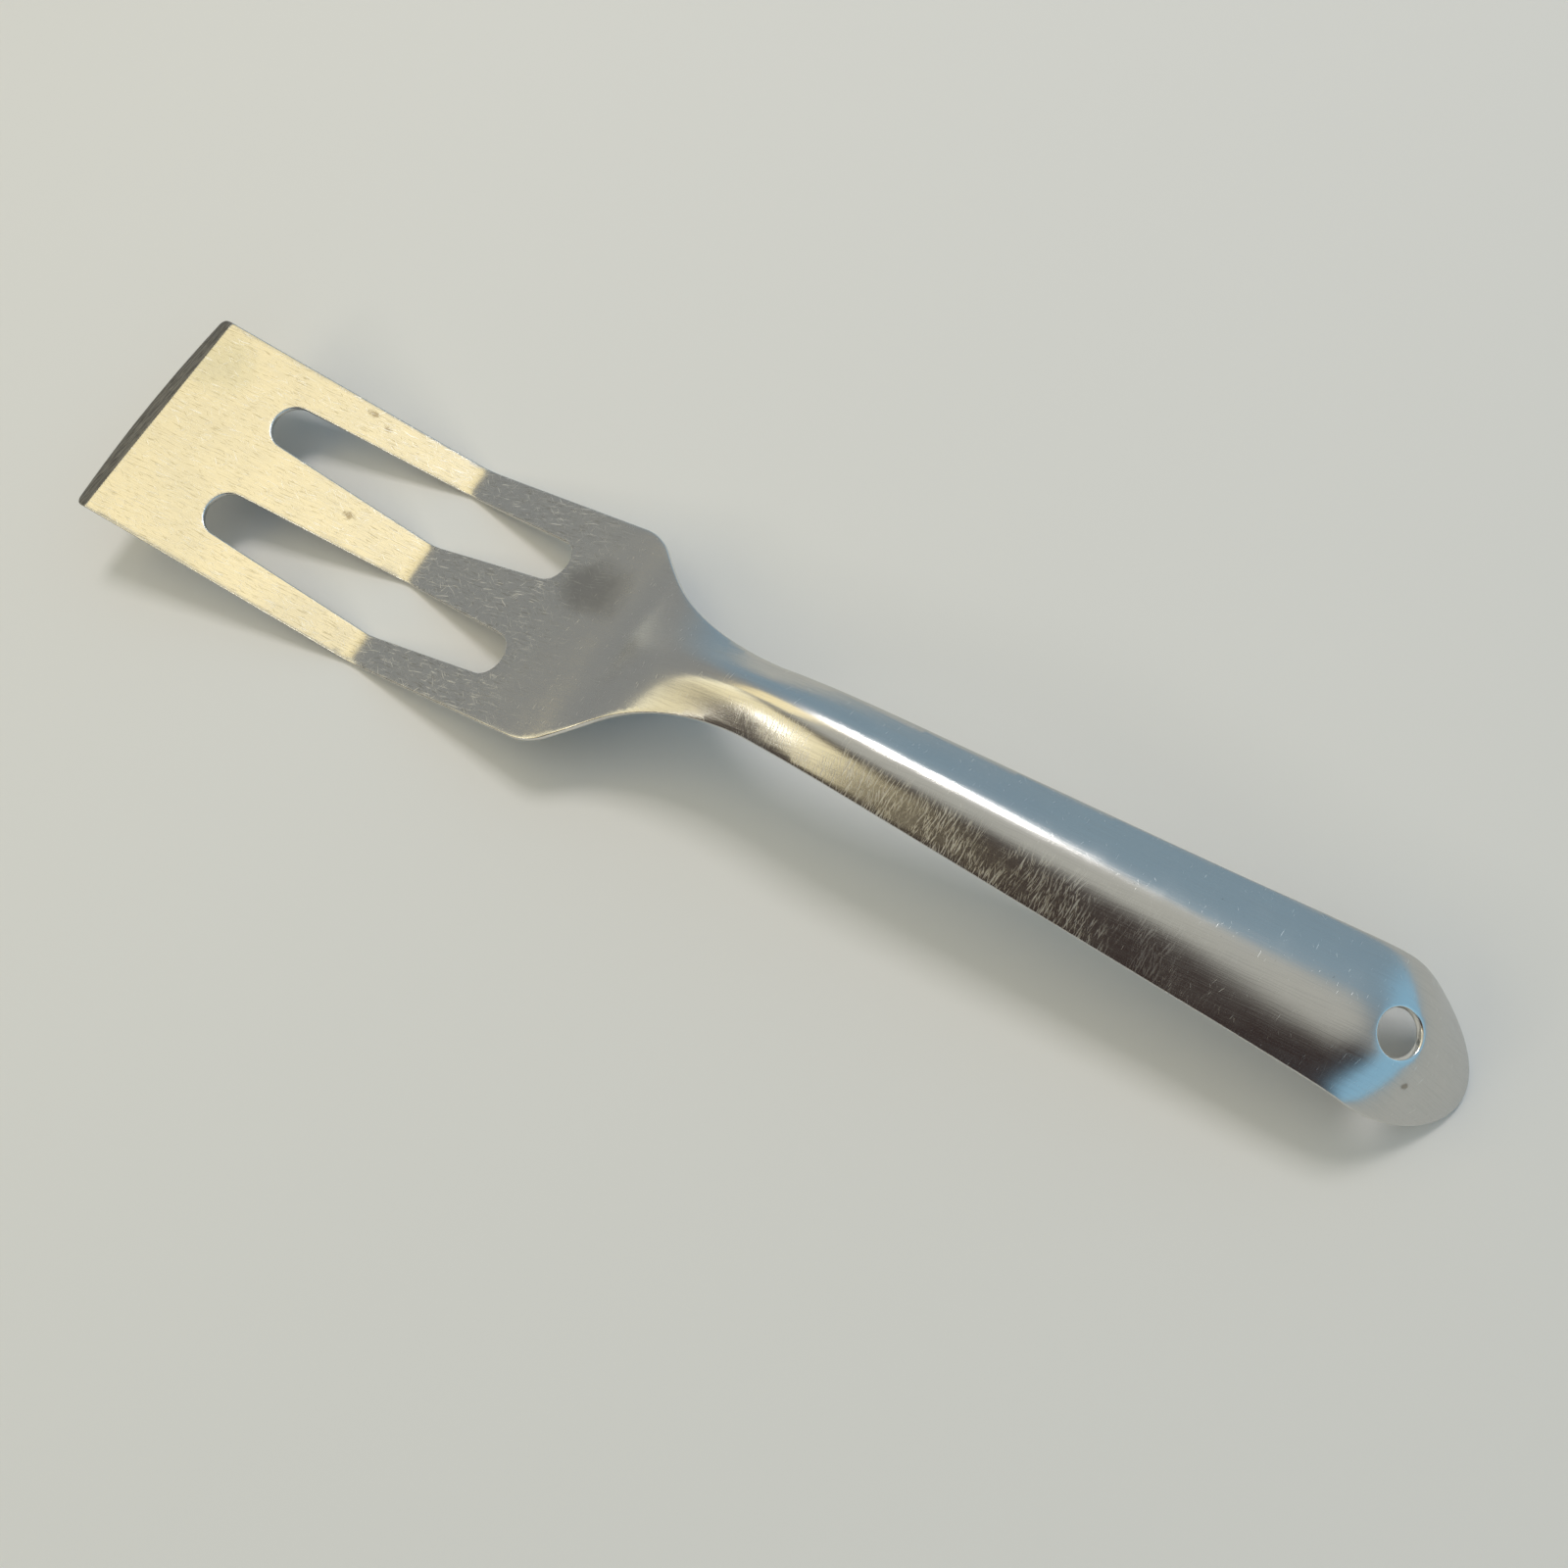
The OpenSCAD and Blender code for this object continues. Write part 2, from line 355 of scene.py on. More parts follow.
class Tree:
    def __init__(self, tree):
        self.tree = tree

    def fill(self, made, inputs):
        """Set each input to a number or a vector, or join it to another node's output."""
        for place, value in inputs.items():
            if isinstance(value, bpy.types.NodeSocket):
                self.tree.links.new(value, made.inputs[place])
            else:
                made.inputs[place].default_value = value
        return made

    def node(self, kind, inputs=None, **settings):
        made = self.tree.nodes.new(kind)
        row, column = divmod(len(self.tree.nodes), in_a_row)
        made.location = (node_wide * column, -node_high * row)
        for name, value in settings.items():
            setattr(made, name, value)
        return self.fill(made, inputs or {})

    def math(self, operation, *values):
        return self.node("ShaderNodeMath", dict(enumerate(values)), operation=operation).outputs[0]

    def vector(self, operation, *values):
        made = self.node("ShaderNodeVectorMath", dict(enumerate(values)), operation=operation)
        return made.outputs["Value" if operation in ("LENGTH", "DISTANCE", "DOT_PRODUCT") else "Vector"]

    def scaled(self, vector, factor):
        made = self.node("ShaderNodeVectorMath", {0: vector, "Scale": factor}, operation="SCALE")
        return made.outputs["Vector"]

    def combine(self, x, y, z):
        return self.node("ShaderNodeCombineXYZ", {0: x, 1: y, 2: z}).outputs[0]

    def ramp(self, value, low, high, out_low=0.0, out_high=1.0):
        """Follow a value from one range to another, smoothly at both ends."""
        sockets = {"Value": value, "From Min": low, "From Max": high, "To Min": out_low, "To Max": out_high}
        return self.node("ShaderNodeMapRange", sockets, interpolation_type="SMOOTHSTEP").outputs["Result"]

    def group(self, group, inputs):
        kind = {"GeometryNodeTree": "GeometryNodeGroup", "ShaderNodeTree": "ShaderNodeGroup"}[group.bl_idname]
        made = self.tree.nodes.new(kind)
        made.node_tree = group
        return self.fill(made, inputs)


def new_group(name, kind, inputs, outputs):
    """A node group with named inputs and outputs. Returns its helper, its inputs and its output node."""
    group = bpy.data.node_groups.new(name, kind)
    for label, socket in inputs:
        group.interface.new_socket(label, in_out="INPUT", socket_type="NodeSocket" + socket)
    for label, socket in outputs:
        group.interface.new_socket(label, in_out="OUTPUT", socket_type="NodeSocket" + socket)
    tree = Tree(group)
    given = tree.node("NodeGroupInput").outputs
    made = tree.node("NodeGroupOutput").inputs
    return tree, given, made


# %% [markdown]
# ## The four bends
# Seen from the side the strip bends four times: up at the crease, up again
# at the neck, down in a long arch along the handle, and down at the tab. The
# press group adds them: each turns the sheet smoothly by its angle over its
# own spread. The bends are one small group, used four times.

# %% Bend groups
bend_tree, given, made = new_group(
    "One bend", "GeometryNodeTree",
    [("Length", "Float"), ("Middle", "Float"), ("Spread", "Float"), ("Angle", "Float")],
    [("Turned so far", "Float")])
half_spread = bend_tree.math("MULTIPLY", given["Spread"], 0.5)
starts = bend_tree.math("SUBTRACT", given["Middle"], half_spread)
stops = bend_tree.math("ADD", given["Middle"], half_spread)
turned = bend_tree.ramp(given["Length"], starts, stops, 0.0, given["Angle"])
bend_tree.tree.links.new(turned, made["Turned so far"])

bend_names = ["Crease", "Neck", "Arch", "Tab"]
bend_inputs = [(f"{bend} {part}", "Float") for bend in bend_names for part in ("middle", "spread", "angle")]
lean_tree, given, made = new_group(
    "Lean of the sheet", "GeometryNodeTree", [("Length", "Float"), ("Tip rise", "Float")] + bend_inputs,
    [("Lean", "Float")])
lean = lean_tree.math("MULTIPLY", given["Tip rise"], -1.0)
for bend in bend_names:
    parts = {"Length": given["Length"], "Middle": given[f"{bend} middle"],
             "Spread": given[f"{bend} spread"], "Angle": given[f"{bend} angle"]}
    one = lean_tree.group(bend_tree.tree, parts)
    lean = lean_tree.math("ADD", lean, one.outputs[0])
lean_tree.tree.links.new(lean, made["Lean"])
print("bend groups:", [group.name for group in bpy.data.node_groups])

# %% [markdown]
# ## The channel
# Across its width the handle is a channel: a rounded ridge with two straight
# flanks. It grows out of the flat blade, and fades into the shallow dish of
# the hanging tab. The group gives how far the sheet drops below its ridge
# line at any place.

# %% Channel group
channel_inputs = [(name, "Float") for name in (
    "Channel depth", "Channel starts", "Channel full", "Channel fades", "Channel gone",
    "Ridge rounding", "Tab dish", "Tab half width")]
drop_tree, given, made = new_group(
    "Drop below the ridge", "GeometryNodeTree",
    [("Length", "Float"), ("Across", "Float"), ("Half width", "Float")] + channel_inputs, [("Drop", "Float")])
share = drop_tree.math("DIVIDE", given["Across"], given["Half width"])
soft = given["Ridge rounding"]
soft_square = drop_tree.math("MULTIPLY", soft, soft)


def above_ridge(value):
    """A rounded ridge: the root of the square of a value and of the rounding, less the rounding."""
    total = drop_tree.math("MULTIPLY_ADD", value, value, soft_square)
    return drop_tree.math("SUBTRACT", drop_tree.math("SQRT", total), soft)


ridge = drop_tree.math("DIVIDE", above_ridge(share), above_ridge(1.0))
tab = drop_tree.ramp(given["Length"], given["Channel fades"], given["Channel gone"])
grown = drop_tree.ramp(given["Length"], given["Channel starts"], given["Channel full"])
channel = drop_tree.math("MULTIPLY", given["Channel depth"], ridge)
tab_share = drop_tree.math("DIVIDE", given["Across"], given["Tab half width"])
dish = drop_tree.math("MULTIPLY", given["Tab dish"], drop_tree.math("MULTIPLY", tab_share, tab_share))
depth_difference = drop_tree.math("SUBTRACT", dish, channel)
drop = drop_tree.math("MULTIPLY", grown, drop_tree.math("MULTIPLY_ADD", depth_difference, tab, channel))
drop_tree.tree.links.new(drop, made["Drop"])

# %% [markdown]
# ## The press
# The press first draws the strip's line as seen from the side: it walks
# along a straight line in small steps, leans each step, and adds the steps
# up. Each point of the blank is then placed from that line: along it by its
# length, sideways by its own offset, down by the drop, and out along the
# bent sheet's own normal by its height in the sheet. A faint waviness keeps
# the reflections from looking like glass.

# %% The press tree
press, given, made = new_group(
    "Press", "GeometryNodeTree",
    [("Geometry", "Geometry"), ("Front length", "Float"), ("Whole length", "Float"), ("Tip rise", "Float")]
    + bend_inputs + channel_inputs
    + [("Waviness", "Float"), ("Wave length", "Float"), ("Seed", "Float"),
       ("Steel", "Material"), ("Ground steel with painted shade", "Material")],
    [("Geometry", "Geometry")])
lean_values = {name: given[name] for name in ["Tip rise"] + [name for name, _ in bend_inputs]}
channel_values = {name: given[name] for name, _ in channel_inputs}


def lean_at(length):
    return press.group(lean_tree.tree, {"Length": length, **lean_values}).outputs["Lean"]


line_points = 4001
line_step = press.math("DIVIDE", given["Whole length"], line_points - 1.0)
line = press.node("GeometryNodeMeshLine", {"Count": line_points}, mode="OFFSET").outputs["Mesh"]
half_index = press.math("ADD", press.node("GeometryNodeInputIndex").outputs[0], 0.5)
middle_of_step = press.math(
    "SUBTRACT", press.math("MULTIPLY", half_index, line_step), given["Front length"])
step_lean = lean_at(middle_of_step)
forward = press.math("MULTIPLY", line_step, press.math("COSINE", step_lean))
upward = press.math("MULTIPLY", line_step, press.math("SINE", step_lean))
gone_forward = press.node("GeometryNodeAccumulateField", {0: forward}).outputs["Trailing"]
gone_upward = press.node("GeometryNodeAccumulateField", {0: upward}).outputs["Trailing"]
side_view = press.node(
    "GeometryNodeSetPosition", {"Geometry": line, "Position": press.combine(gone_forward, 0.0, gone_upward)})
side_line = press.node("GeometryNodeMeshToCurve", {"Mesh": side_view.outputs[0]}).outputs["Curve"]


def on_line(length):
    """Where the side line is at a length from the crease."""
    from_front = press.math("ADD", length, given["Front length"])
    sample = press.node("GeometryNodeSampleCurve", {"Curves": side_line, "Length": from_front}, mode="LENGTH")
    return sample.outputs["Position"]


blank_place = press.node("GeometryNodeInputPosition").outputs[0]
kept = press.node(
    "GeometryNodeStoreNamedAttribute",
    {"Geometry": given["Geometry"], "Name": "flat", "Value": blank_place},
    data_type="FLOAT_VECTOR", domain="POINT")
length, offset, height = press.node("ShaderNodeSeparateXYZ", {0: blank_place}).outputs
half = press.node("GeometryNodeInputNamedAttribute", {"Name": "half_width"}, data_type="FLOAT").outputs[0]
widening = press.node("GeometryNodeInputNamedAttribute", {"Name": "widening"}, data_type="FLOAT").outputs[0]


def drop_at(length, offset, half_width):
    values = {"Length": length, "Across": offset, "Half width": half_width, **channel_values}
    return press.group(drop_tree.tree, values).outputs["Drop"]


further = press.math("ADD", length, nudge)
drop_here = drop_at(length, offset, half)
drop_further = drop_at(further, offset, press.math("MULTIPLY_ADD", widening, nudge, half))
drop_beside = drop_at(length, press.math("ADD", offset, nudge), half)
slope_along = press.math("DIVIDE", press.math("SUBTRACT", drop_further, drop_here), nudge)
slope_across = press.math("DIVIDE", press.math("SUBTRACT", drop_beside, drop_here), nudge)
lean_here = lean_at(length)
curving = press.math("DIVIDE", press.math("SUBTRACT", lean_at(further), lean_here), nudge)
stretch = press.math("MULTIPLY_ADD", drop_here, curving, 1.0)

cos_lean, sin_lean = press.math("COSINE", lean_here), press.math("SINE", lean_here)
ahead = press.combine(cos_lean, 0.0, sin_lean)
above = press.combine(press.math("MULTIPLY", sin_lean, -1.0), 0.0, cos_lean)
tipped = press.vector("ADD", above, press.combine(0.0, slope_across, 0.0))
tipped = press.vector("ADD", tipped, press.scaled(ahead, press.math("DIVIDE", slope_along, stretch)))
normal = press.vector("NORMALIZE", tipped)

wave_place = press.vector("ADD", press.combine(length, offset, 0.0), press.combine(0.0, 0.0, given["Seed"]))
wave = press.node("ShaderNodeTexNoise", {
    "Vector": wave_place, "Scale": press.math("DIVIDE", 1.0, given["Wave length"]), "Detail": 1.0})
wave_height = press.math("MULTIPLY", press.math("SUBTRACT", wave.outputs[0], 0.5), given["Waviness"])
outward_by = press.math("ADD", height, wave_height)
place = press.vector("SUBTRACT", on_line(length), press.scaled(above, drop_here))
place = press.vector("ADD", place, press.combine(0.0, offset, 0.0))
place = press.vector("ADD", place, press.scaled(normal, outward_by))

# %% [markdown]
# ## Setting it down
# At rest the spatula stands on its crease and on the end of its tab. The
# press tree turns the strip until those two places are level, then moves it
# so that its bounding box stands on the floor, centred, like the CAD part.

# %% The end of the press tree
foot_at = press.math("SUBTRACT", given["Whole length"], given["Front length"])
span = press.node("ShaderNodeSeparateXYZ", {0: press.vector("SUBTRACT", on_line(foot_at), on_line(0.0))})
rest_tilt = press.math("ARCTAN2", span.outputs["Z"], span.outputs["X"])
level = press.node("ShaderNodeVectorRotate", {"Vector": place, "Angle": rest_tilt}, rotation_type="Y_AXIS")
pressed = press.node(
    "GeometryNodeSetPosition", {"Geometry": kept.outputs[0], "Position": level.outputs[0]}).outputs[0]
limits = press.node("GeometryNodeBoundBox", {"Geometry": pressed})
centre = press.scaled(press.vector("ADD", limits.outputs["Min"], limits.outputs["Max"]), -0.5)
lowest = press.node("ShaderNodeSeparateXYZ", {0: limits.outputs["Min"]}).outputs["Z"]
centre_xy = press.node("ShaderNodeSeparateXYZ", {0: centre})
shift = press.combine(centre_xy.outputs["X"], centre_xy.outputs["Y"], press.math("MULTIPLY", lowest, -1.0))
stood = press.node("GeometryNodeTransform", {"Geometry": pressed, "Translation": shift}).outputs[0]
smooth = press.node("GeometryNodeSetShadeSmooth", {"Geometry": stood}).outputs[0]
realized = press.node("GeometryNodeRealizeInstances", {"Geometry": smooth}).outputs[0]
all_steel = press.node(
    "GeometryNodeSetMaterial", {"Geometry": realized, "Material": given["Steel"]}).outputs[0]
is_ground = press.node("GeometryNodeInputNamedAttribute", {"Name": "ground"}, data_type="FLOAT").outputs[0]
finished = press.node("GeometryNodeSetMaterial", {
    "Geometry": all_steel, "Selection": press.math("GREATER_THAN", is_ground, 0.5),
    "Material": given["Ground steel with painted shade"]}).outputs[0]
press.tree.links.new(finished, made["Geometry"])
print("press tree:", len(press.tree.nodes), "nodes")

# %% [markdown]
# ## Scratches
# Worn steel is read by its scratches. A scratch is rougher than the metal
# around it, so it looks bright against a dark reflection and dark against a
# bright one. Noise stretched along one direction and cut off near its top
# gives separate strokes; the group is used again for each direction.

# %% Scratch group
scratch_tree, given, made = new_group(
    "Scratches", "ShaderNodeTree",
    [("Place", "Vector"), ("Direction", "Float"), ("Stroke length", "Float"), ("Stroke width", "Float"),
     ("Cut off", "Float"), ("Bending", "Float"), ("Seed", "Float")],
    [("Mask", "Float")])
bends_per_mm = 0.12
soft_edge = 0.1
bent = scratch_tree.node("ShaderNodeTexNoise", {
    "Vector": given["Place"], "Scale": bends_per_mm, "Detail": 1.0})
bent_by = scratch_tree.vector("SUBTRACT", bent.outputs["Color"], (0.5, 0.5, 0.5))
bent_place = scratch_tree.vector("ADD", given["Place"], scratch_tree.scaled(bent_by, given["Bending"]))
turned = scratch_tree.node("ShaderNodeVectorRotate", {
    "Vector": bent_place, "Angle": scratch_tree.math("MULTIPLY", given["Direction"], -1.0)},
    rotation_type="Z_AXIS")
axes = scratch_tree.node("ShaderNodeSeparateXYZ", {0: turned.outputs[0]}).outputs
along_stroke = scratch_tree.math("DIVIDE", axes["X"], given["Stroke length"])
across_stroke = scratch_tree.math("DIVIDE", axes["Y"], given["Stroke width"])
stroke_place = scratch_tree.combine(along_stroke, across_stroke, given["Seed"])
strokes = scratch_tree.node("ShaderNodeTexNoise", {
    "Vector": stroke_place, "Scale": 1.0, "Detail": 2.0, "Roughness": 0.5})
stroke_top = scratch_tree.math("ADD", given["Cut off"], soft_edge)
mask = scratch_tree.ramp(strokes.outputs[0], given["Cut off"], stroke_top)
scratch_tree.tree.links.new(mask, made["Mask"])

# %% [markdown]
# ## Smudges and stains
# Handling leaves large soft smudges, and heat and fat leave small ragged
# stains. Both are blotches of noise. A stain is also held to a place, so one
# group takes a middle and a radius, and noise roughens its rim.

# %% Smudge and stain groups
smudge_tree, given, made = new_group(
    "Smudges", "ShaderNodeTree",
    [("Place", "Vector"), ("Size", "Float"), ("Low", "Float"), ("High", "Float"), ("Seed", "Float")],
    [("Mask", "Float")])
moved = smudge_tree.vector("ADD", given["Place"], smudge_tree.combine(0.0, 0.0, given["Seed"]))
per_size = smudge_tree.math("DIVIDE", 1.0, given["Size"])
blotches = smudge_tree.node("ShaderNodeTexNoise", {
    "Vector": moved, "Scale": per_size, "Detail": 5.0, "Roughness": 0.6})
mask = smudge_tree.ramp(blotches.outputs[0], given["Low"], given["High"])
smudge_tree.tree.links.new(mask, made["Mask"])

stain_tree, given, made = new_group(
    "Stain", "ShaderNodeTree",
    [("Place", "Vector"), ("Middle", "Vector"), ("Stretch", "Vector"), ("Raggedness", "Float"),
     ("Grain", "Float")],
    [("Mask", "Float")])
from_middle = stain_tree.vector("SUBTRACT", given["Place"], given["Middle"])
away = stain_tree.vector("DIVIDE", from_middle, given["Stretch"])
rough_rim = stain_tree.node("ShaderNodeTexNoise", {
    "Vector": given["Place"], "Scale": given["Grain"], "Detail": 4.0, "Roughness": 0.6})
rim = stain_tree.math("MULTIPLY", stain_tree.math("SUBTRACT", rough_rim.outputs[0], 0.5), given["Raggedness"])
reach = stain_tree.math("ADD", stain_tree.vector("LENGTH", away), rim)
mask = stain_tree.ramp(reach, 1.0, 0.3)
stain_tree.tree.links.new(mask, made["Mask"])

# %% [markdown]
# ## Worn edges
# Edges rub on everything, so they are smoother and brighter than the faces.
# The blank stored how near each point is to an edge; noise breaks that band
# up so that it does not look painted on.

# %% Worn edge group
worn_edge_tree, given, made = new_group(
    "Worn edge", "ShaderNodeTree", [("Place", "Vector"), ("Nearness", "Float"), ("Breaking up", "Float")],
    [("Mask", "Float")])
broken = worn_edge_tree.node("ShaderNodeTexNoise", {"Vector": given["Place"], "Scale": 0.9, "Detail": 3.0})
noise_part = worn_edge_tree.math(
    "MULTIPLY", worn_edge_tree.math("SUBTRACT", broken.outputs[0], 0.5), given["Breaking up"])
mask = worn_edge_tree.ramp(worn_edge_tree.math("ADD", given["Nearness"], noise_part), 0.25, 0.75)
worn_edge_tree.tree.links.new(mask, made["Mask"])
print("finish groups made")

# %% [markdown]
# ## Worn stainless steel
# The whole strip is one metal: bare stainless with a soft satin shine. Its
# base colour is nearly the same everywhere, because the light and dark on
# metal come from what it reflects. The scratches, smudges and stains change
# the roughness first and the colour a little. Patterns read the attribute
# `flat`, the place on the blank before pressing, so they bend with the sheet.

# %% Worn steel material
def mix_colour(tree, factor, first, second):
    made = tree.node("ShaderNodeMix", {0: factor, 6: first, 7: second}, data_type="RGBA")
    return made.outputs[2]


def mix_value(tree, factor, first, second):
    return tree.node("ShaderNodeMix", {0: factor, 2: first, 3: second}, data_type="FLOAT").outputs[0]


def colour(red, green, blue):
    return (red, green, blue, 1.0)


def most_of(tree, *masks):
    total = masks[0]
    for mask in masks[1:]:
        total = tree.math("MAXIMUM", total, mask)
    return total


def start_material(name):
    """A metal material with its shader, and the place on the flat blank in millimetres."""
    material = bpy.data.materials.new(name)
    material.use_nodes = True
    material.node_tree.nodes.clear()
    tree = Tree(material.node_tree)
    output = tree.node("ShaderNodeOutputMaterial")
    shader = tree.node("ShaderNodeBsdfPrincipled", {"Metallic": 1.0})
    tree.tree.links.new(shader.outputs[0], output.inputs["Surface"])
    flat = tree.node("ShaderNodeAttribute", attribute_name="flat").outputs["Vector"]
    return material, tree, shader, tree.scaled(flat, 1 / MM)


def scratches(tree, place, *rows):
    """A row is direction in degrees, stroke length and width in mm, cut off, bending in mm, seed."""
    masks = []
    for direction, stroke_length, width, cut_off, bending, seed in rows:
        values = {"Place": place, "Direction": math.radians(direction), "Stroke length": stroke_length,
                  "Stroke width": width, "Cut off": cut_off, "Bending": bending, "Seed": seed}
        masks.append(tree.group(scratch_tree.tree, values).outputs["Mask"])
    return most_of(tree, *masks)


def smudges(tree, place, size, low, high, seed):
    return tree.group(smudge_tree.tree, {
        "Place": place, "Size": size, "Low": low, "High": high, "Seed": seed}).outputs["Mask"]


def stains(tree, place, *rows):
    """A row is a middle and half lengths along and across in mm, raggedness, grain."""
    masks = []
    through_sheet = 9.0
    for along, sideways, half_long, half_wide, raggedness, grain in rows:
        values = {"Place": place, "Middle": (along, sideways, 0.0), "Raggedness": raggedness,
                  "Stretch": (half_long, half_wide, through_sheet), "Grain": grain}
        masks.append(tree.group(stain_tree.tree, values).outputs["Mask"])
    return most_of(tree, *masks)


def overlay(tree, share, mask, under, over):
    """Lay a colour or a value over another, by a share of a mask."""
    part = tree.math("MULTIPLY", mask, share)
    mix = mix_colour if isinstance(over, tuple) else mix_value
    return mix(tree, part, under, over)


steel, tree, shader, place = start_material("worn_stainless")
axes = tree.node("ShaderNodeSeparateXYZ", {0: place}).outputs
nearness = tree.node("ShaderNodeAttribute", attribute_name="edge_wear").outputs["Fac"]
rolled_grain = scratches(tree, place, (3, 9.0, 0.16, 0.50, 0.5, 1.0))

# Turning food and scraping a grill leave long strokes on the blade only
blade_ends, blade_fades = 60.0, 30.0
on_blade = tree.ramp(axes["X"], blade_ends, blade_fades)
bright_on_blade = scratches(
    tree, place, (8, 5.0, 0.30, 0.60, 2.0, 7.0), (-32, 4.0, 0.28, 0.63, 3.0, 13.0),
    (55, 3.0, 0.28, 0.64, 3.0, 19.0))
dark_on_blade = scratches(tree, place, (4, 4.0, 0.32, 0.58, 1.5, 43.0), (-24, 2.6, 0.30, 0.62, 3.0, 47.0))
dark_strokes = tree.math("MULTIPLY", on_blade, dark_on_blade)
loose_strokes = scratches(tree, place, (78, 2.2, 0.18, 0.68, 3.0, 23.0), (-55, 2.0, 0.22, 0.70, 3.0, 29.0))

# Short crosswise strokes, close together on the flank that rubs when the spatula hangs or is stacked
crosswise = scratches(tree, place, (82, 3.2, 0.26, 0.54, 2.0, 31.0), (104, 2.0, 0.20, 0.57, 2.5, 37.0))
near_side = tree.ramp(axes["Y"], -0.6, -2.6)
flank_starts = tree.ramp(axes["X"], 96.0, 116.0)
flank_fades = tree.ramp(axes["X"], 202.0, 160.0, 0.08, 1.0)
on_flank = tree.math("MULTIPLY", tree.math("MULTIPLY", near_side, flank_starts), flank_fades)
patchy = smudges(tree, place, 9.0, 0.34, 0.56, 41.0)
flank_strokes = tree.math("MULTIPLY", tree.math("MULTIPLY", crosswise, on_flank), patchy)
strokes = most_of(tree, tree.math("MULTIPLY", bright_on_blade, on_blade), loose_strokes, flank_strokes)

hazy = smudges(tree, place, 26.0, 0.36, 0.68, 3.0)
fingered = smudges(tree, place, 7.0, 0.45, 0.70, 5.0)
specks = smudges(tree, place, 0.9, 0.70, 0.74, 9.0)
# A dark, rougher patch on the rear blade, just in front of the shoulder
dark_patch_at_shoulder = stains(tree, place, (50.5, 9.0, 13.0, 8.5, 0.7, 0.16))
tarnish = stains(tree, place, (-72.0, 18.0, 13.0, 11.0, 0.9, 0.12))
small_stains = stains(
    tree, place, (-32.1, 25.4, 2.2, 1.0, 1.6, 0.9), (-26.8, 23.6, 1.4, 0.9, 1.6, 0.9),
    (-21.8, 1.5, 2.2, 1.1, 1.7, 0.9), (222.6, -5.5, 0.9, 0.7, 1.4, 1.2))
worn = tree.group(worn_edge_tree.tree, {
    "Place": place, "Nearness": nearness, "Breaking up": 0.35}).outputs["Mask"]

clean_steel, hazy_steel = colour(0.60, 0.59, 0.565), colour(0.57, 0.565, 0.55)
bare = mix_colour(tree, hazy, clean_steel, hazy_steel)
bare = overlay(tree, 0.25, rolled_grain, bare, colour(0.46, 0.455, 0.44))
bare = overlay(tree, 0.35, tarnish, bare, colour(0.38, 0.41, 0.40))
bare = overlay(tree, 0.75, dark_patch_at_shoulder, bare, colour(0.24, 0.24, 0.25))
bare = overlay(tree, 0.7, small_stains, bare, colour(0.20, 0.165, 0.12))
bare = overlay(tree, 0.5, specks, bare, colour(0.25, 0.235, 0.21))
bare = overlay(tree, 0.65, dark_strokes, bare, colour(0.34, 0.32, 0.27))
bare = overlay(tree, 0.85, strokes, bare, colour(0.86, 0.85, 0.82))
bare = mix_colour(tree, worn, bare, colour(0.74, 0.73, 0.70))

gloss = mix_value(tree, hazy, 0.19, 0.215)
gloss = mix_value(tree, fingered, gloss, 0.235)
gloss = overlay(tree, 0.4, rolled_grain, gloss, 0.30)
gloss = overlay(tree, 0.8, strokes, gloss, 0.50)
gloss = mix_value(tree, dark_patch_at_shoulder, gloss, 0.33)
gloss = mix_value(tree, worn, gloss, 0.20)

grain_height, stroke_depth = 0.3, 0.8
ridges = tree.math("MULTIPLY", rolled_grain, grain_height)
height = tree.math("SUBTRACT", ridges, tree.math("MULTIPLY", strokes, stroke_depth))
bump = tree.node("ShaderNodeBump", {"Strength": 0.28, "Distance": 0.02 * MM, "Height": height})
tree.tree.links.new(bare, shader.inputs["Base Color"])
tree.tree.links.new(gloss, shader.inputs["Roughness"])
tree.tree.links.new(bump.outputs[0], shader.inputs["Normal"])
print("worn stainless:", len(tree.tree.nodes), "nodes")

# %% [markdown]
# ## The ground bevel
# The front edge was ground on a belt after rolling. The belt leaves coarse
# parallel marks along the edge and no shine, so the bevel is a second
# material: rougher, with the same scratch and edge groups. Its base colour is
# also painted far darker than steel, as painted shade, so that the bevel stays
# dark where it would mirror the warm lamp; only the belt marks in it are real.

# %% Ground bevel material
ground_steel_with_painted_shade, tree, shader, place = start_material("ground_bevel_with_painted_shade")
nearness = tree.node("ShaderNodeAttribute", attribute_name="edge_wear").outputs["Fac"]
belt_marks = scratches(tree, place, (87, 7.0, 0.20, 0.44, 0.5, 3.0))
deep_marks = scratches(tree, place, (82, 4.0, 0.28, 0.54, 1.5, 11.0))
worn = tree.group(worn_edge_tree.tree, {
    "Place": place, "Nearness": nearness, "Breaking up": 0.6}).outputs["Mask"]
# Painted shade: the bevel's base colour is set far below steel so that it stays dark under the warm lamp; the
# lighter and darker belt marks across it are real
bare = mix_colour(tree, belt_marks, colour(0.13, 0.128, 0.125), colour(0.25, 0.245, 0.235))
bare = overlay(tree, 0.7, deep_marks, bare, colour(0.07, 0.066, 0.062))
bare = overlay(tree, 0.6, worn, bare, colour(0.42, 0.41, 0.385))
gloss = mix_value(tree, belt_marks, 0.55, 0.42)
height = tree.math("SUBTRACT", tree.math("MULTIPLY", belt_marks, 0.5), deep_marks)
bump = tree.node("ShaderNodeBump", {"Strength": 0.5, "Distance": 0.04 * MM, "Height": height})
tree.tree.links.new(bare, shader.inputs["Base Color"])
tree.tree.links.new(gloss, shader.inputs["Roughness"])
tree.tree.links.new(bump.outputs[0], shader.inputs["Normal"])
print("ground bevel:", len(tree.tree.nodes), "nodes")

# %% [markdown]
# ## Press the blank
# The press is a modifier on the blank. Its inputs are set by their
# identifiers, before it is first evaluated. The evaluated result becomes a
# plain mesh, which is the finished spatula; the blank and its press are then
# no longer needed.

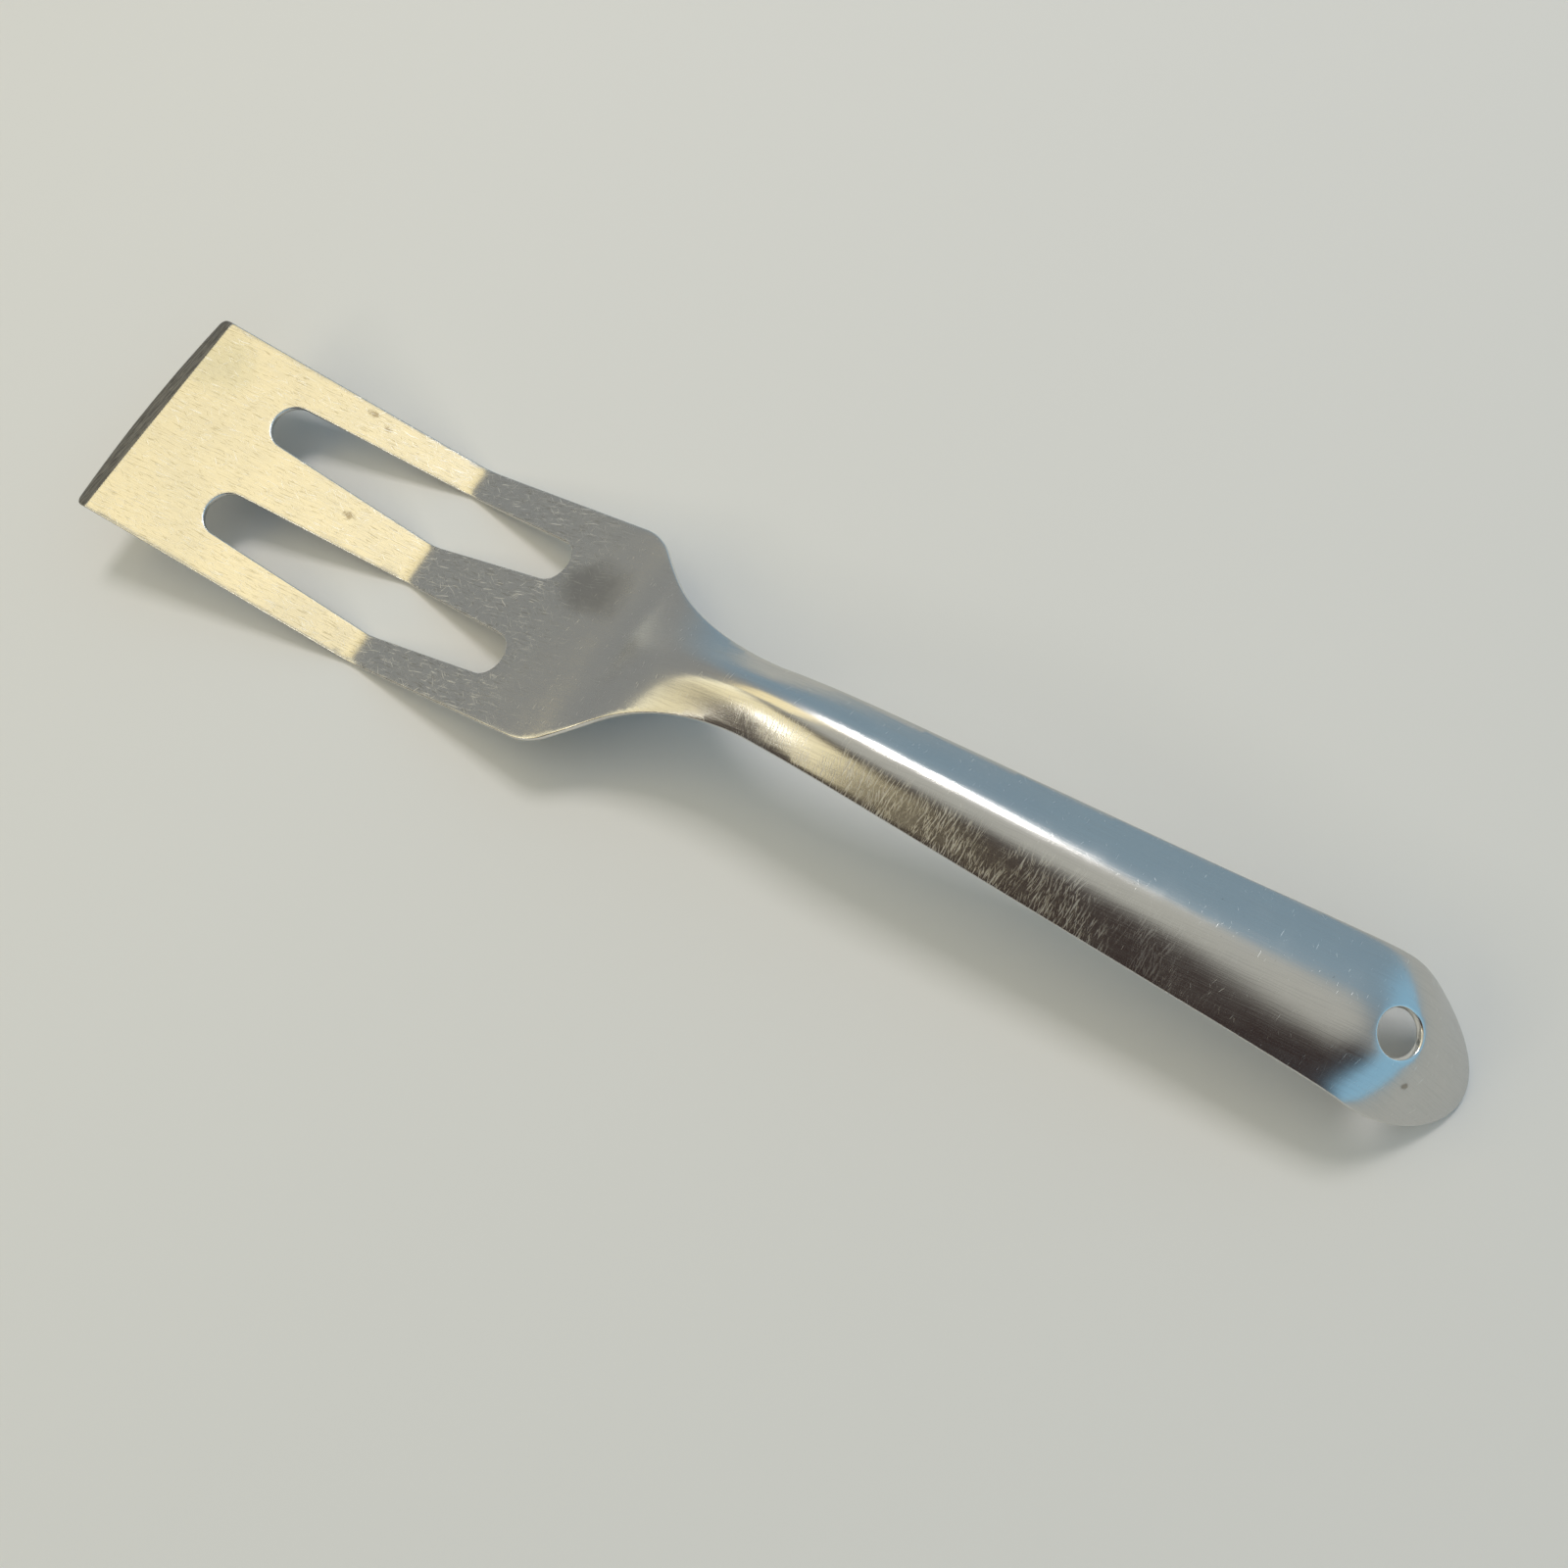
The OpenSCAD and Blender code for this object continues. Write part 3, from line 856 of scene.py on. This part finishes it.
# %% Run the press
press_settings = {
    "Front length": front_len,
    "Whole length": front_len + end_at + end_len,
    "Tip rise": math.radians(13.4),
    "Crease middle": 0.0,
    "Crease spread": 9.4 * MM,
    "Crease angle": math.radians(24.8),
    "Neck middle": shoulder_at + 12 * MM,
    "Neck spread": 12 * MM,
    "Neck angle": math.radians(20.5),
    "Arch middle": shoulder_at + 45 * MM,
    "Arch spread": 73 * MM,
    "Arch angle": math.radians(-39),
    "Tab middle": hole_at,
    "Tab spread": 18.5 * MM,
    "Tab angle": math.radians(-49.5),
    "Channel depth": 4.4 * MM,
    "Channel starts": shoulder_at - 2 * MM,
    "Channel full": shoulder_at + 56 * MM,
    "Channel fades": hole_at - 36 * MM,
    "Channel gone": hole_at,
    "Ridge rounding": 0.35,
    "Tab dish": 4.4 * MM,
    "Tab half width": end_half,
    "Waviness": 0.10 * MM,
    "Wave length": 26 * MM,
    "Seed": 4.0,
    "Steel": steel,
    "Ground steel with painted shade": ground_steel_with_painted_shade,
}
press_modifier = blank.modifiers.new("press", "NODES")
press_modifier.node_group = press.tree
for socket in press.tree.interface.items_tree:
    if socket.in_out == "INPUT" and socket.name in press_settings:
        press_modifier[socket.identifier] = press_settings[socket.name]

graph = bpy.context.evaluated_depsgraph_get()
spatula_mesh = bpy.data.meshes.new_from_object(blank.evaluated_get(graph))
spatula_mesh.name = "pressed_spatula"
spatula = bpy.data.objects.new("pressed_spatula", spatula_mesh)
bpy.context.scene.collection.objects.link(spatula)
blank.modifiers.clear()
bpy.data.objects.remove(blank)
print("pressed:", len(spatula_mesh.vertices), "points,", len(spatula_mesh.polygons), "faces")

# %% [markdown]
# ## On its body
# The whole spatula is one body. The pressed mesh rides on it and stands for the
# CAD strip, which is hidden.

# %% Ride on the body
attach(spatula, "root")
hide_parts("spatula")
low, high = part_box("spatula")
print("CAD size in mm:", [round((b - a) / MM, 2) for a, b in zip(low, high)])

# %% [markdown]
# ## The floor
# A plain pale floor under the spatula catches its shadow and lights its
# underside. It is part of the stage, not of the object.

# %% Floor
def stage_material(name, shade, roughness):
    material = bpy.data.materials.new(name)
    material.use_nodes = True
    shader = material.node_tree.nodes["Principled BSDF"]
    shader.inputs["Base Color"].default_value = shade
    shader.inputs["Roughness"].default_value = roughness
    return material


floor_half = 3.0
floor_mesh = bpy.data.meshes.new("floor")
corners = [(-floor_half, -floor_half, 0), (floor_half, -floor_half, 0),
           (floor_half, floor_half, 0), (-floor_half, floor_half, 0)]
floor_mesh.from_pydata(corners, [], [(0, 1, 2, 3)])
floor_mesh.materials.append(stage_material("pale_floor", colour(0.76, 0.745, 0.72), 0.9))
floor = bpy.data.objects.new("floor", floor_mesh)
bpy.context.scene.collection.objects.link(floor)
print("floor:", 2 * floor_half, "m square")

# %% [markdown]
# ## Light
# Metal is lit by what it reflects, so each light stands where a face of the
# spatula looks: a warm panel where the front of the blade looks, and a warm
# wide light with a small lamp in it where the neck does. The key light, on
# the far side, is there for the shadow. The far flank of the handle and the
# tab reflect the cool parts of the world, and the near flank its dim part.

# %% Lights
def soft_light(name, azimuth, elevation, distance, width, height, power, tint, aim=(0.0, 0.0, 0.01)):
    """An area light seen from aim at an azimuth (0 is +X, 90 is +Y) and elevation in degrees."""
    turn, rise = math.radians(azimuth), math.radians(elevation)
    flat_reach = math.cos(rise)
    direction = mathutils.Vector((math.cos(turn) * flat_reach, math.sin(turn) * flat_reach, math.sin(rise)))
    light = bpy.data.lights.new(name, "AREA")
    light.shape = "RECTANGLE"
    light.size, light.size_y = width, height
    light.energy = power
    light.color = tint
    lamp = bpy.data.objects.new(name, light)
    lamp.location = mathutils.Vector(aim) + distance * direction
    lamp.rotation_euler = (-direction).to_track_quat("-Z", "Y").to_euler()
    lamp.visible_camera = False
    bpy.context.scene.collection.objects.link(lamp)
    return lamp


blade_middle = (-0.115, 0.0, 0.01)
neck_middle = (0.03, 0.0, 0.02)
# Azimuth and elevation in degrees, distance, width and height in metres, power in watts, tint, aim
soft_light("key", 100, 60, 1.2, 0.30, 0.30, 4.4, (1.0, 0.97, 0.96))
soft_light("warm_panel", 158, 63, 1.1, 0.62, 0.52, 1.15, (1.0, 0.80, 0.34), blade_middle)
soft_light("warm_side", 222, 38, 1.2, 1.25, 0.55, 2.9, (1.0, 0.90, 0.58), neck_middle)
soft_light("warm_lamp", 235, 30, 1.2, 0.14, 0.14, 0.4, (1.0, 0.98, 0.95), neck_middle)

world = bpy.data.worlds.new("studio")
bpy.context.scene.world = world
world.use_nodes = True
world_tree = Tree(world.node_tree)
background = world.node_tree.nodes["Background"]
direction = world_tree.node("ShaderNodeSeparateXYZ", {
    0: world_tree.node("ShaderNodeTexCoord").outputs["Generated"]}).outputs

# Each part of the world is a soft step on the direction, which runs from -1 to 1 on each axis
far_and_right = world_tree.math("MULTIPLY_ADD", direction["X"], 0.3, direction["Y"])
cool_part = world_tree.ramp(far_and_right, 0.1, 0.7)
near_part = world_tree.ramp(direction["Y"], -0.10, -0.42)
right_part = world_tree.ramp(direction["X"], 0.30, 0.70)
below_top = world_tree.ramp(direction["Z"], 0.70, 0.40)
side_part = world_tree.math("MULTIPLY", right_part, below_top)
top_part = world_tree.ramp(direction["Z"], 0.78, 0.95)

plain_grey, cool_blue = colour(0.37, 0.38, 0.37), colour(0.31, 0.44, 0.54)
dim_brown, light_blue = colour(0.048, 0.032, 0.030), colour(0.37, 0.68, 0.92)
warm_white = colour(0.62, 0.62, 0.57)
shade = mix_colour(world_tree, cool_part, plain_grey, cool_blue)
shade = mix_colour(world_tree, near_part, shade, dim_brown)
shade = mix_colour(world_tree, side_part, shade, light_blue)
shade = mix_colour(world_tree, top_part, shade, warm_white)
world.node_tree.links.new(shade, background.inputs["Color"])
bpy.context.scene.view_settings.view_transform = "Standard"

# %% [markdown]
# ## Camera
# The camera stands over the handle, about 20 cm up, and looks down at a
# slant, as a person holding a phone does. A short lens this close makes the
# handle look larger than the blade.

# %% Camera
full_frame_width, lens_length = 36.0, 26.886
camera_place = (0.1123, -0.0489, 0.2042)
camera_turns = (21.079, 13.024, 32.319)
camera_data = bpy.data.cameras.new("camera")
camera_data.sensor_width = full_frame_width
camera_data.lens = lens_length
camera_data.clip_start = 10 * MM
camera = bpy.data.objects.new("camera", camera_data)
camera.location = camera_place
camera.rotation_euler = [math.radians(turn) for turn in camera_turns]
bpy.context.scene.collection.objects.link(camera)
bpy.context.scene.camera = camera
print("camera:", [round(v, 3) for v in camera.location])
